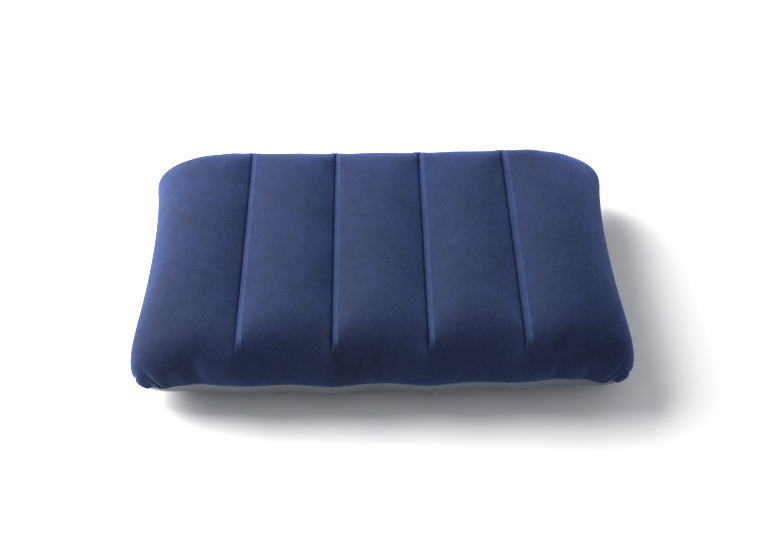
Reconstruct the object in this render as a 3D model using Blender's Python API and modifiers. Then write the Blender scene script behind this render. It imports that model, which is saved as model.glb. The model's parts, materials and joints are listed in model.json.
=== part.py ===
"""Inflatable camp pillow: a flocked top sheet and a plain bottom sheet welded together round the edge.

Four tension beams inside tie the sheets together and divide the pillow into five channels.  A recessed
mouth valve with a plug, a folding skirt and an inner flap sits in the rear slope of the bottom sheet.
Units are metres.  +X is the length, +Y the rear, +Z up; the origin is on the ground under the centre.
"""
import math

import bmesh
import bpy
from mathutils import Matrix, Vector

# ---- overall sizes ----
LENGTH = 0.430                 # across the channels, at the widest line
DEPTH = 0.291                  # along the channels, at the widest line
HEIGHT = 0.092                 # ground to the crest of the outer channels
SEAM_HEIGHT = 0.034            # ground to the welded edge

# ---- sheets ----
TOP_THICKNESS = 0.0008         # film and flock
BOTTOM_THICKNESS = 0.0005
SEAM_WIDTH = 0.005             # welded margin, turned inwards
GAP = 0.0003                   # between touching pieces
TOP_TURN = math.radians(120)   # the top sheet rolls past upright before the seam
BOTTOM_TURN = math.radians(72)
CORNER_POWER = 2.5             # roundness of the outline's corners
MARGIN = 0.060                 # flat width of sheet taken up by the roll at the edge
TOP_ROLL_STEPS = 8
BOTTOM_ROLL_STEPS = 5
FLAT_STEP = 0.00001            # step on the flat sheet from which a normal is found
SMOOTH_ANGLE = math.radians(35)

# ---- channels and beams ----
BEAM_COUNT = 4
BEAM_PITCH = 0.079
BEAM_LENGTH = 0.236            # along the flat sheet
BEAM_THICKNESS = 0.0004
BAND_WIDTH = 0.008             # flange of a beam, welded to the sheet
FOOT_WIDTH = 0.024             # flat stretch under each channel that rests on the ground
ROLL_START_Y = 0.106           # half the straight run of a channel
OUTER_CREST = 0.0366           # from an outer beam to the crest of the outer channel
GROOVE_TOP = 0.0744            # ground to a groove over a beam
GROOVE_BOTTOM = 0.0143         # ground to a groove under a beam
INNER_DROP = 0.0023            # the inner channels are this much lower than the outer ones
GROOVE_FADE = 1.2              # how fast the grooves run out over the roll
BEAM_CELLS = 10                # mesh cells along a beam's straight run
FLANGE_CELLS = 1               # mesh cells across a beam's flange and down its web
WEB_CELLS = 3

# ---- mouth valve, measured along its own axis from the bottom sheet's outer face ----
VALVE_X = 0.004
VALVE_TURN = math.radians(46)  # place of the valve on the bottom sheet's rear roll
VALVE_SINK = 0.0008            # the sheet is pulled in this far where the flange holds it flat
FLAT_RADIUS = 0.0158           # sheet held flat by the flange
BLEND_RADIUS = 0.0215
FLANGE_RADIUS = 0.0136
FLANGE_THICKNESS = 0.0008
RECESS_RADIUS = 0.0094         # hole in the sheet and in the flange
MOUTH = -0.0008                # height of the stem's mouth
STEM_RADIUS = 0.0044
STEM_BORE = 0.0032
STEM_LENGTH = 0.0132
BASE_RADIUS = 0.0060
BASE_THICKNESS = 0.0008
SKIRT_THICKNESS = 0.0005
SKIRT_INSET = 0.0006           # from the rim of the stem's base to the skirt's foot
CAP_RADIUS = 0.0060
CAP_THICKNESS = 0.0012
CAP_BEVEL = 0.0004
SHANK_LENGTH = 0.0040
SHANK_TIP_RADIUS = 0.0021
HINGE_RADIUS = 0.0070          # valve axis to the root of the plug's strap
STRAP_WIDTH = 0.0036
STRAP_THICKNESS = 0.0006
STRAP_OVERLAP = 0.001          # the strap's end inside the cap
STRAP_STEP = 0.0001            # from the cap's seat or the stem's mouth to the face of the strap
FLAP_RADIUS = 0.0042
FLAP_THICKNESS = 0.0005
FLAP_CHORD = 0.0006            # depth of the disc cut away along the hinge line
FLAP_SIDES = 32
HOLE_CUTTER_DEPTH = 0.004
TURN_STEPS = 40
WELD_DISTANCE = 0.00001        # vertices closer than this are one

# ---- derived places ----
OUTER_BEAM_X = (BEAM_COUNT - 1) / 2 * BEAM_PITCH
ROLL_START_X = OUTER_BEAM_X + OUTER_CREST
TOP, BOTTOM = 1, -1


def seam_level(side):
    return SEAM_HEIGHT + side * GAP / 2


def roll_radii(side):
    """Radii of the rolled edge along X, Y and Z; both sheets end on the same seam outline."""
    wide_x = LENGTH / 2 - ROLL_START_X
    wide_y = DEPTH / 2 - ROLL_START_Y
    if side == TOP:
        return wide_x, wide_y, (HEIGHT - seam_level(TOP)) / (1 - math.cos(TOP_TURN))
    inset = math.sin(TOP_TURN) / math.sin(BOTTOM_TURN)
    return wide_x * inset, wide_y * inset, seam_level(BOTTOM) / (1 - math.cos(BOTTOM_TURN))


def channel_offset(p):
    """Distance from the channel's crest, 0 on it and 1 at a beam, and whether it is an outer channel."""
    outer = abs(p) > OUTER_BEAM_X
    if outer:
        return max(0.0, (ROLL_START_X - abs(p)) / OUTER_CREST), True
    along = (p + OUTER_BEAM_X) / BEAM_PITCH
    return abs(2 * (along - math.floor(along)) - 1), False


def groove_depth(side, p):
    """How far the sheet stands in from the top or bottom plane of the pillow, before the edge's roll."""
    t, outer = channel_offset(p)
    if side == TOP:
        drop = 0.0 if outer else INNER_DROP
        return drop + (HEIGHT - GROOVE_TOP - drop) * t * t
    foot = FOOT_WIDTH / (2 * OUTER_CREST if outer else BEAM_PITCH)
    return GROOVE_BOTTOM * (max(0.0, t - foot) / (1 - foot)) ** 2


def sheet_point(side, p, q):
    """Outer face of a sheet at flat coordinates p and q; past the roll starts, MARGIN spans the roll."""
    a = max(0.0, (abs(p) - ROLL_START_X) / MARGIN)
    b = max(0.0, (abs(q) - ROLL_START_Y) / MARGIN)
    m = min(1.0, max(a, b))
    turn = m * (TOP_TURN if side == TOP else BOTTOM_TURN)
    spread = (a ** CORNER_POWER + b ** CORNER_POWER) ** (1 / CORNER_POWER) or 1.0
    rx, ry, rz = roll_radii(side)
    x = min(abs(p), ROLL_START_X) + rx * a / spread * math.sin(turn)
    y = min(abs(q), ROLL_START_Y) + ry * b / spread * math.sin(turn)
    inward = rz * (1 - math.cos(turn)) + groove_depth(side, p) * (1 - m) ** GROOVE_FADE
    z = HEIGHT - inward if side == TOP else inward
    return Vector((math.copysign(x, p), math.copysign(y, q), z))


def sheet_normal(side, p, q):
    """Outward normal; on a beam line it is that of the channel towards +X, where the beam is welded."""
    here = sheet_point(side, p, q)
    along = sheet_point(side, p + FLAT_STEP, q) - here
    across = sheet_point(side, p, q + FLAT_STEP) - here
    return (along.cross(across) * side).normalized()


def under_sheet(side, p, q, depth):
    return sheet_point(side, p, q) - sheet_normal(side, p, q) * depth


# ---- the valve's own frame: Z out of the pillow along the valve, Y up the slope towards the seam ----
VALVE_Q = ROLL_START_Y + MARGIN * VALVE_TURN / BOTTOM_TURN


def valve_frame():
    outward = sheet_normal(BOTTOM, 0.0, VALVE_Q)
    sideways = Vector((-1, 0, 0))
    up_slope = outward.cross(sideways)
    place = sheet_point(BOTTOM, 0.0, VALVE_Q) - outward * VALVE_SINK
    place.x = VALVE_X
    axes = Matrix((sideways, up_slope, outward)).transposed()
    return Matrix.Translation(place) @ axes.to_4x4()


def flatten_for_valve(point, frame):
    """Pull the sheet to the plane of the valve's flange, easing out round it."""
    local = frame.inverted() @ point
    away = math.hypot(local.x, local.y)
    ease = min(1.0, max(0.0, (BLEND_RADIUS - away) / (BLEND_RADIUS - FLAT_RADIUS)))
    local.z *= 1 - ease * ease * (3 - 2 * ease)
    return frame @ local


# ---- scene helpers ----
def clear_scene():
    for obj in list(bpy.data.objects):
        bpy.data.objects.remove(obj, do_unlink=True)


def new_collection(name):
    collection = bpy.data.collections.new(name)
    bpy.context.scene.collection.children.link(collection)
    return collection


def make_material(name, colour, roughness, sheen=0.0):
    material = bpy.data.materials.new(name)
    material.use_nodes = True
    shader = material.node_tree.nodes["Principled BSDF"]
    shader.inputs["Base Color"].default_value = (*colour, 1.0)
    shader.inputs["Roughness"].default_value = roughness
    shader.inputs["Metallic"].default_value = 0.0
    shader.inputs["Sheen Weight"].default_value = sheen
    return material


def add_mesh_object(name, mesh, material, collection, parent=None):
    obj = bpy.data.objects.new(name, mesh)
    collection.objects.link(obj)
    mesh.materials.clear()
    mesh.materials.append(material)
    obj.parent = parent
    return obj


def add_empty(name, collection, parent=None, place=(0, 0, 0)):
    empty = bpy.data.objects.new(name, None)
    empty.empty_display_size = 0.01
    collection.objects.link(empty)
    empty.parent = parent
    empty.location = place
    return empty


def add_solidify(obj, thickness):
    """Thicken an open surface away from its outward face."""
    solidify = obj.modifiers.new("Thickness", "SOLIDIFY")
    solidify.thickness = thickness
    solidify.offset = -1.0
    solidify.use_even_offset = True


def add_boolean(obj, other, operation):
    cut = obj.modifiers.new(operation.title(), "BOOLEAN")
    cut.operation = operation
    cut.solver = "EXACT"
    cut.object = other


def smooth(obj):
    obj.data.shade_smooth()
    obj.data.set_sharp_from_angle(angle=SMOOTH_ANGLE)


# ---- sheets ----
def channel_columns(roll_steps):
    """Flat X coordinates of the mesh columns: beam lines, band edges, feet, crests and the rolls."""
    half_foot = FOOT_WIDTH / 2
    columns = []
    for k in range(BEAM_COUNT - 1):
        start = -OUTER_BEAM_X + k * BEAM_PITCH
        crest = BEAM_PITCH / 2
        last = BEAM_PITCH - BAND_WIDTH
        inner = (0, BAND_WIDTH, (BAND_WIDTH + crest - half_foot) / 2, crest - half_foot, crest,
                 crest + half_foot, (crest + half_foot + last) / 2, last)
        columns += [start + step for step in inner]
    outer = [OUTER_BEAM_X + step for step in (0, BAND_WIDTH, (BAND_WIDTH + OUTER_CREST - half_foot) / 2,
                                              OUTER_CREST - half_foot)]
    outer += [ROLL_START_X + MARGIN * k / roll_steps for k in range(roll_steps + 1)]
    return sorted([-x for x in outer[1:]] + columns + outer)


def beam_rows():
    """Flat Y coordinates shared by the beams and the sheets."""
    rows = [ROLL_START_Y * (2 * k / BEAM_CELLS - 1) for k in range(BEAM_CELLS + 1)]
    return [-BEAM_LENGTH / 2] + rows + [BEAM_LENGTH / 2]


def sheet_rows(roll_steps):
    edge = ROLL_START_Y + MARGIN
    outer = [BEAM_LENGTH / 2 + (edge - BEAM_LENGTH / 2) * k / (roll_steps - 1) for k in range(1, roll_steps)]
    return [-y for y in reversed(outer)] + beam_rows() + outer


def flat_grid(columns, rows):
    """A flat grid mesh whose lines lie on the given columns and rows."""
    bm = bmesh.new()
    nx, ny = len(columns) - 1, len(rows) - 1
    bmesh.ops.create_grid(bm, x_segments=nx, y_segments=ny, size=0.5)
    for vert in bm.verts:
        i, j = round((vert.co.x + 0.5) * nx), round((vert.co.y + 0.5) * ny)
        vert.co = (columns[i], rows[j], 0)
    return bm


def refine_near_valve(bm):
    """Split the cells round the valve so that the sheet there can be flat."""
    reach = BLEND_RADIUS + BAND_WIDTH
    middle = Vector((VALVE_X, VALVE_Q, 0))
    near = [face for face in bm.faces if (face.calc_center_median() - middle).length < reach]
    edges = {edge for face in near for edge in face.edges}
    bmesh.ops.subdivide_edges(bm, edges=list(edges), cuts=2, use_grid_fill=True)


def add_seam_lip(bm, side):
    """Turn the welded margin inwards from the sheet's edge, level with the ground."""
    border = [edge for edge in bm.edges if edge.is_boundary]
    inward = {}
    for edge in border:
        run = edge.verts[1].co - edge.verts[0].co
        normal = Vector((run.y, -run.x, 0)).normalized()
        middle = (edge.verts[0].co + edge.verts[1].co) / 2
        if normal.dot(Vector((middle.x, middle.y, 0))) > 0:
            normal.negate()
        for vert in edge.verts:
            inward[vert] = inward.get(vert, Vector()) + normal
    moves = {tuple(vert.co): direction.normalized() * SEAM_WIDTH for vert, direction in inward.items()}
    made = bmesh.ops.extrude_edge_only(bm, edges=border)["geom"]
    for vert in (item for item in made if isinstance(item, bmesh.types.BMVert)):
        vert.co += moves[tuple(vert.co)]


def make_sheet(name, side, thickness, roll_steps, material, collection, frame):
    bm = flat_grid(channel_columns(roll_steps), sheet_rows(roll_steps))
    if side == BOTTOM:
        refine_near_valve(bm)
    for vert in bm.verts:
        vert.co = sheet_point(side, vert.co.x, vert.co.y)
        if side == BOTTOM:
            vert.co = flatten_for_valve(vert.co, frame)
    add_seam_lip(bm, side)
    bmesh.ops.triangulate(bm, faces=bm.faces[:])
    bmesh.ops.recalc_face_normals(bm, faces=bm.faces[:])
    top_most = max(bm.faces, key=lambda face: side * face.calc_center_median().z)
    if top_most.normal.z * side < 0:
        bmesh.ops.reverse_faces(bm, faces=bm.faces[:])
    mesh = bpy.data.meshes.new(name)
    bm.to_mesh(mesh)
    bm.free()
    obj = add_mesh_object(name, mesh, material, collection)
    add_solidify(obj, thickness)
    smooth(obj)
    return obj


# ---- tension beams ----
def make_beam(name, line_x, material, collection):
    """A folded strip: a flange under the top sheet, a web, and a flange on the bottom sheet."""
    columns = list(range(2 * FLANGE_CELLS + WEB_CELLS + 1))
    bm = flat_grid(columns, beam_rows())
    top_depth = TOP_THICKNESS + GAP
    bottom_depth = BOTTOM_THICKNESS + GAP
    for vert in bm.verts:
        k, q = round(vert.co.x), vert.co.y
        if k <= FLANGE_CELLS:
            p = line_x + BAND_WIDTH * (1 - k / FLANGE_CELLS)
            vert.co = under_sheet(TOP, p, q, top_depth)
        elif k >= FLANGE_CELLS + WEB_CELLS:
            p = line_x + BAND_WIDTH * (k - FLANGE_CELLS - WEB_CELLS) / FLANGE_CELLS
            vert.co = under_sheet(BOTTOM, p, q, bottom_depth)
        else:
            upper = under_sheet(TOP, line_x, q, top_depth)
            lower = under_sheet(BOTTOM, line_x, q, bottom_depth)
            vert.co = upper.lerp(lower, (k - FLANGE_CELLS) / WEB_CELLS)
    bmesh.ops.triangulate(bm, faces=bm.faces[:])
    bmesh.ops.recalc_face_normals(bm, faces=bm.faces[:])
    web = min(bm.faces, key=lambda face: abs(face.calc_center_median().z - HEIGHT / 2))
    if web.normal.x > 0:
        bmesh.ops.reverse_faces(bm, faces=bm.faces[:])
    mesh = bpy.data.meshes.new(name)
    bm.to_mesh(mesh)
    bm.free()
    obj = add_mesh_object(name, mesh, material, collection)
    add_solidify(obj, BEAM_THICKNESS)
    return obj


# ---- valve ----
def turned(name, profile, closed, material, collection, parent):
    """Turn a profile of (radius, height) points about Z; it runs down the outer side."""
    mesh = bpy.data.meshes.new(name)
    count = len(profile)
    edges = [(k, (k + 1) % count) for k in range(count if closed else count - 1)]
    mesh.from_pydata([(r, 0, z) for r, z in profile], edges, [])
    obj = add_mesh_object(name, mesh, material, collection, parent)
    screw = obj.modifiers.new("Turn", "SCREW")
    screw.axis = "Z"
    screw.angle = math.tau
    screw.steps = TURN_STEPS
    screw.render_steps = TURN_STEPS
    screw.use_merge_vertices = True
    screw.merge_threshold = WELD_DISTANCE
    return obj


def box_cutter(name, low, high, collection, parent):
    bpy.ops.mesh.primitive_cube_add(size=1)
    box = bpy.context.object
    for owner in list(box.users_collection):
        owner.objects.unlink(box)
    collection.objects.link(box)
    box.name = name
    size = [b - a for a, b in zip(low, high)]
    middle = [(a + b) / 2 for a, b in zip(low, high)]
    box.data.transform(Matrix.Translation(middle) @ Matrix.Diagonal((*size, 1)))
    box.parent = parent
    box.hide_render = True
    box.display_type = "WIRE"
    return box


def make_flange(material, collection, parent):
    upper = -BOTTOM_THICKNESS - GAP
    lower = upper - FLANGE_THICKNESS
    ring = [(FLANGE_RADIUS, upper), (FLANGE_RADIUS, lower), (RECESS_RADIUS, lower), (RECESS_RADIUS, upper)]
    return turned("valve_flange", ring, True, material, collection, parent)


# heights of the stem's pieces along the valve axis, from its mouth
STEM_FOOT = MOUTH - STEM_LENGTH
BASE_TOP = STEM_FOOT + BASE_THICKNESS
HINGE_HEIGHT = MOUTH + GAP / 2


def make_skirt(material, collection, parent):
    """Thin cone that folds over itself when the stem is pulled out."""
    top = -BOTTOM_THICKNESS - GAP
    foot = BASE_TOP + GAP
    wide = RECESS_RADIUS - GAP
    narrow = BASE_RADIUS - SKIRT_INSET
    cone = [(wide, top), (wide, top - FLANGE_THICKNESS), (narrow, foot), (narrow - SKIRT_THICKNESS, foot),
            (wide - SKIRT_THICKNESS, top - FLANGE_THICKNESS), (wide - SKIRT_THICKNESS, top)]
    return turned("valve_skirt", cone, True, material, collection, parent)


def make_stem(material, collection, cutters, parent):
    tube = [(STEM_RADIUS, MOUTH), (STEM_RADIUS, BASE_TOP), (BASE_RADIUS, BASE_TOP), (BASE_RADIUS, STEM_FOOT),
            (STEM_BORE, STEM_FOOT), (STEM_BORE, MOUTH)]
    stem = turned("valve_stem", tube, True, material, collection, parent)
    inside = (STEM_BORE + STEM_RADIUS) / 2
    low = (-STRAP_WIDTH / 2, inside, MOUTH - STRAP_THICKNESS)
    high = (STRAP_WIDTH / 2, HINGE_RADIUS, MOUTH - STRAP_STEP)
    add_boolean(stem, box_cutter("stem_ear", low, high, cutters, parent), "UNION")
    return stem


def make_plug(material, collection, cutters, parent):
    """Cap, tapered shank and strap; its origin is on the hinge at the strap's root."""
    seat = MOUTH + GAP - HINGE_HEIGHT
    shank_radius = STEM_BORE - GAP
    profile = [(0, seat + CAP_THICKNESS), (CAP_RADIUS - CAP_BEVEL, seat + CAP_THICKNESS),
               (CAP_RADIUS, seat + CAP_THICKNESS - CAP_BEVEL), (CAP_RADIUS, seat), (shank_radius, seat),
               (SHANK_TIP_RADIUS, seat - SHANK_LENGTH), (0, seat - SHANK_LENGTH)]
    plug = turned("valve_plug", profile, False, material, collection, parent)
    plug.location = (0, -HINGE_RADIUS, 0)
    low = (-STRAP_WIDTH / 2, -HINGE_RADIUS + CAP_RADIUS - STRAP_OVERLAP, seat + STRAP_STEP)
    high = (STRAP_WIDTH / 2, 0, seat + STRAP_STEP + STRAP_THICKNESS)
    add_boolean(plug, box_cutter("plug_strap", low, high, cutters, parent), "UNION")
    return plug


def make_flap(material, collection, parent):
    """One-way flap: a disc with a straight hinge side, its origin on the hinge line."""
    bm = bmesh.new()
    bmesh.ops.create_cone(bm, cap_ends=True, segments=FLAP_SIDES, radius1=FLAP_RADIUS, radius2=FLAP_RADIUS,
                          depth=FLAP_THICKNESS)
    bmesh.ops.translate(bm, verts=bm.verts[:], vec=(0, FLAP_RADIUS - FLAP_CHORD, -FLAP_THICKNESS / 2))
    geometry = bm.verts[:] + bm.edges[:] + bm.faces[:]
    bmesh.ops.bisect_plane(bm, geom=geometry, plane_co=(0, 0, 0), plane_no=(0, -1, 0), clear_outer=True)
    bmesh.ops.holes_fill(bm, edges=[edge for edge in bm.edges if edge.is_boundary])
    bmesh.ops.recalc_face_normals(bm, faces=bm.faces[:])
    mesh = bpy.data.meshes.new("check_flap")
    bm.to_mesh(mesh)
    bm.free()
    return add_mesh_object("check_flap", mesh, material, collection, parent)


def cut_valve_hole(sheet, cutters, parent):
    mesh = bpy.data.meshes.new("valve_hole")
    bm = bmesh.new()
    bmesh.ops.create_cone(bm, cap_ends=True, segments=TURN_STEPS, radius1=RECESS_RADIUS,
                          radius2=RECESS_RADIUS, depth=HOLE_CUTTER_DEPTH)
    bm.to_mesh(mesh)
    bm.free()
    hole = bpy.data.objects.new("valve_hole", mesh)
    cutters.objects.link(hole)
    hole.parent = parent
    hole.hide_render = True
    hole.display_type = "WIRE"
    add_boolean(sheet, hole, "DIFFERENCE")


def main():
    clear_scene()
    pillow = new_collection("camp_pillow")
    cutters = new_collection("cutters")
    flock = make_material("blue_flock", (0.035, 0.050, 0.150), 0.9, sheen=0.6)
    film = make_material("grey_film", (0.095, 0.112, 0.135), 0.45)
    beam_film = make_material("beam_film", (0.16, 0.18, 0.20), 0.45)
    clear_vinyl = make_material("valve_vinyl", (0.42, 0.46, 0.50), 0.30)

    frame = valve_frame()
    valve = add_empty("valve_axis", pillow)
    valve.matrix_world = frame
    stem_slide = add_empty("stem_slide", pillow, valve)
    plug_hinge = add_empty("plug_hinge", pillow, stem_slide, (0, HINGE_RADIUS, HINGE_HEIGHT))
    flap_line = FLAP_CHORD - FLAP_RADIUS
    flap_hinge = add_empty("flap_hinge", pillow, stem_slide, (0, flap_line, STEM_FOOT - GAP))

    make_sheet("top_panel", TOP, TOP_THICKNESS, TOP_ROLL_STEPS, flock, pillow, frame)
    bottom = make_sheet("bottom_panel", BOTTOM, BOTTOM_THICKNESS, BOTTOM_ROLL_STEPS, film, pillow, frame)
    cut_valve_hole(bottom, cutters, valve)
    for k in range(BEAM_COUNT):
        make_beam(f"beam_{k + 1}", -OUTER_BEAM_X + k * BEAM_PITCH, beam_film, pillow)
    valve_pieces = [make_flange(clear_vinyl, pillow, valve),
                    make_skirt(clear_vinyl, pillow, valve),
                    make_stem(clear_vinyl, pillow, cutters, stem_slide),
                    make_plug(clear_vinyl, pillow, cutters, plug_hinge),
                    make_flap(clear_vinyl, pillow, flap_hinge)]
    for piece in valve_pieces:
        smooth(piece)


main()
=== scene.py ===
"""Looks of an inflatable camp pillow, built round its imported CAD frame.

The two welded sheets are inflated by a small cloth simulation in numpy, from their flat cut to the
pillow's shape.  Tucks, creases, weld bands, beams and valve are then built into that shape.  Scene
units are metres; the cut, the grid lines and the simulation are in millimetres.
"""
import json
import math

import bmesh
import bpy
import numpy as np
from mathutils import Matrix, Vector


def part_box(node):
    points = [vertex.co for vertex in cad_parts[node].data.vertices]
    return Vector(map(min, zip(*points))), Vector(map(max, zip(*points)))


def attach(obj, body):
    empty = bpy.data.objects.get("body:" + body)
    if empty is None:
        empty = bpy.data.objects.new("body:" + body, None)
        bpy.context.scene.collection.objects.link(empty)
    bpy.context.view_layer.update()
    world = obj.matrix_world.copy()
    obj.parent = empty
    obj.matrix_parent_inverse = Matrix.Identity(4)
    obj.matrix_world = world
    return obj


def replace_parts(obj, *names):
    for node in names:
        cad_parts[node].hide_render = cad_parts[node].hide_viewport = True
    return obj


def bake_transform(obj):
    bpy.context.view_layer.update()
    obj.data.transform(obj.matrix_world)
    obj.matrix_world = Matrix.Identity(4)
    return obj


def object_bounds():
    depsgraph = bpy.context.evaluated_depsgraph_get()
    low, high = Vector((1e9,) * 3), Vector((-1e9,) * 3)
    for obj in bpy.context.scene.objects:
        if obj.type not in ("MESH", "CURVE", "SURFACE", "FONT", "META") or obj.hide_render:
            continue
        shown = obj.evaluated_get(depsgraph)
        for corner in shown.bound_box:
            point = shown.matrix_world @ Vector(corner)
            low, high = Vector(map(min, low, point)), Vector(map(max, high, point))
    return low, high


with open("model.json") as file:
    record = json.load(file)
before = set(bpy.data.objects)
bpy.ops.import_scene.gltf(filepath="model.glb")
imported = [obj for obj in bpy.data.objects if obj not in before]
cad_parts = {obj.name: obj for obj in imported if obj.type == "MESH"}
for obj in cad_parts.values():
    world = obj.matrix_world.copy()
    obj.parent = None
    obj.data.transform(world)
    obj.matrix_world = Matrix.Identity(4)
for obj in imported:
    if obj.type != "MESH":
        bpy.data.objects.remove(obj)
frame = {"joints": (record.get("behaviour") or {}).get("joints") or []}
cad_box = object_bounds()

MM = 0.001
TOP, BOTTOM = 0, 1

# ---- the flat cut, in millimetres ----
CUT_WIDTH = 488.0
CUT_DEPTH = 330.0
CREASE_PITCH = 85.0            # flat distance between two creases
CREASE_COUNT = 4
CREASE_SHIFT = -2.3            # the creases lie on one side of the bands, so their middle is off centre
BAND_WIDTH = 6.4               # flange of a beam, welded to the sheet on the right of its crease
BEAM_RUN = 256.0
WEB_HEIGHT = 60.0
CORNER_PULL_FRONT = 0.10       # share by which the cut's corners are rounded off
CORNER_PULL_REAR = 0.025
CORNER_POWER = 6
SHEET_BIAS = 0.15              # margins of the top sheet are cut this share wider, the bottom's narrower
BIAS_START_Y = 115.0

# ---- inflation ----
PRESSURE = 5e-4
WEIGHT = 2e-6
BENDING = 0.15 / 12
BAND_STIFFNESS = 60.0          # times the film's own
SEAM_STIFFNESS = 10.0
DIAGONAL_SHARE = 0.5           # a diagonal thread is this share as stiff as a straight one
SLACK = 0.05                   # push of a shortened sheet as a share of its pull: small folds give way
NODE_MASS = 6.0
DAMPING = 0.985
ROUGHNESS_SEED = 3
ROUGHNESS = 0.015              # random start of the nodes, as a share of a cell
GUESS_HEIGHT = 0.65            # height of the first guess's middle plane, as a share of WEB_HEIGHT
GUESS_DOME = 0.9
DOME_POWER = 6
CELLS_PER_CHANNEL = 10
SAME_PLACE = 1e-6              # grid lines nearer than this count as being at the same place
STEPS = (1500, 1100, 500)      # simulation steps on each grid, which is twice as fine as the last

# ---- ironing of the corners' folds; the ranges are shares of the way out to the seam ----
IRONING_PASSES = 35
IRONED_ACROSS = (0.20, 0.60)
IRONED_ALONG = (0.50, 0.80)
IRONING_SHARE = 0.5
SEAM_IRONING = 0.25

# ---- tucks: place along the seam and side (-1 front or left, 1 rear or right), then depth in metres,
# half width and reach in millimetres ----
END_TUCKS = (
    (-213, -1, 0.0024, 2.4, 20), (-186, -1, 0.0008, 3.0, 10), (-104, -1, 0.0006, 3.0, 8),
    (-14, -1, 0.0006, 3.2, 8), (82, -1, 0.0006, 3.0, 8), (184, -1, 0.0008, 3.0, 10),
    (213, -1, 0.0024, 2.4, 20), (-214, 1, 0.0020, 2.4, 16), (-190, 1, 0.0009, 2.6, 10),
    (-60, 1, 0.0006, 3.0, 8), (70, 1, 0.0006, 3.0, 8), (192, 1, 0.0010, 2.6, 12),
    (215, 1, 0.0020, 2.4, 16))
SIDE_TUCKS = (
    (-138, -1, 0.0022, 2.4, 18), (-112, -1, 0.0007, 2.8, 10), (134, -1, 0.0018, 2.4, 15),
    (-138, 1, 0.0022, 2.4, 18), (-110, 1, 0.0007, 2.8, 10), (136, 1, 0.0018, 2.4, 15))

# ---- sheets and beams: thicknesses, gaps and depths in metres, places on the cut in millimetres ----
TOP_THICKNESS = 0.0006
BOTTOM_THICKNESS = 0.0004
SEAM_GAP = 0.0003
SEAM_WIDTH = 0.004
SEAM_RINGS = (0.12, 1.0)       # shares of the seam's width; the first ring keeps its fold sharp
SEAM_SPAN = 5                  # border nodes on each side that give the seam's direction
PINCH = 0.0018                 # how far a crease is drawn in below the two channels' own curves
PINCH_WIDTH = 0.55
BOTTOM_PINCH = 0.5             # the bottom's creases are this share as deep
CREASE_FADE = (-2, 14)         # a crease fades out over this range, from the beam's end
SEAM_PINCH = 0.0007
SEAM_PINCH_WIDTH = 0.8
BAND_DIP = 0.0008              # a band lies this much below the channel's curve at its outer side
BAND_STEP_START = 4.2          # where the sheet steps up again from the band
BAND_STEP_END = 0.2            # and where the step ends, from the band's outer edge
PRESSED_AND_HIGHLIGHT_START = (0.4, 2.4)     # the pressed pile and painted highlight of a band fade in over this range, from its crease, out over this one, from the band's outer edge, and over this one, from the beam's end
PRESSED_AND_HIGHLIGHT_STOP = (-0.3, 0.5)     # out over this one, from the band's outer edge,
PRESSED_AND_HIGHLIGHT_FADE = (-1.5, 0.5)     # and over this one, from the beam's end
FINE_SHARES = (0.45, 0.2)      # places of added grid lines in the cells beside a crease or the seam
BEAM_THICKNESS = 0.0003
BEAM_CLEARANCE = 0.0004        # from the sheet's inner face to the flange
FLANGE_SIDE = 0.3              # the flange starts and ends this far from the band's own edges
BEAM_END = 1                   # the beam ends this far inside its run
WEB_CLEARANCE = 0.0008
WEB_STEPS = 12
WEB_SCALLOP = 0.07             # the web's free ends are hollowed by this share
BEAM_SHARP_ANGLE = 40


# ---- inflation of the two sheets ----
def eased(value, low, high):
    t = np.clip((value - low) / (high - low), 0, 1)
    return t * t * (3 - 2 * t)


def spaced(low, high, cell):
    """Evenly spaced numbers from low to high, about one cell apart."""
    return np.linspace(low, high, max(1, round((high - low) / cell)) + 1)


def crease_lines():
    return [CREASE_PITCH * (k - (CREASE_COUNT - 1) / 2) + CREASE_SHIFT for k in range(CREASE_COUNT)]


def cut_lines():
    """Flat X and Y coordinates of the coarsest grid, with a column on each crease."""
    cell = CREASE_PITCH / CELLS_PER_CHANNEL
    stops = [-CUT_WIDTH / 2, *crease_lines(), CUT_WIDTH / 2]
    columns = [spaced(a, b, cell)[:-1] for a, b in zip(stops, stops[1:])]
    half = spaced(0, CUT_DEPTH / 2, cell)
    return np.concatenate([*columns, [CUT_WIDTH / 2]]), np.concatenate([-half[:0:-1], half])


def flat_pattern(columns, rows):
    """Flat position of each node on the top and the bottom sheet's cut."""
    creases = crease_lines()
    over_x = columns - np.clip(columns, creases[0], creases[-1])
    over_y = rows - np.clip(rows, -BIAS_START_Y, BIAS_START_Y)
    u, v = np.meshgrid(columns / columns[-1], rows / rows[-1])
    corner = np.where(v < 0, CORNER_PULL_FRONT, CORNER_PULL_REAR)
    pull = 1 - corner * np.abs(u * v) ** CORNER_POWER
    patterns = []
    for bias in (SHEET_BIAS, -SHEET_BIAS):
        x, y = np.meshgrid(columns + bias * over_x, rows + bias * over_y)
        patterns.append(np.stack([x * pull, y * pull], -1))
    return np.array(patterns)


def halved(grid, axis):
    """The same grid with a line added between every two along one axis, on a smooth curve."""
    grid = np.moveaxis(grid, axis, 0)
    fine = np.empty((2 * len(grid) - 1,) + grid.shape[1:])
    fine[::2] = grid
    middle = (grid[1:] + grid[:-1]) / 2
    if grid.ndim > 1:
        middle[1:-1] = (9 * (grid[1:-2] + grid[2:-1]) - grid[:-3] - grid[3:]) / 16
    fine[1::2] = middle
    return np.moveaxis(fine, 0, axis)


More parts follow.
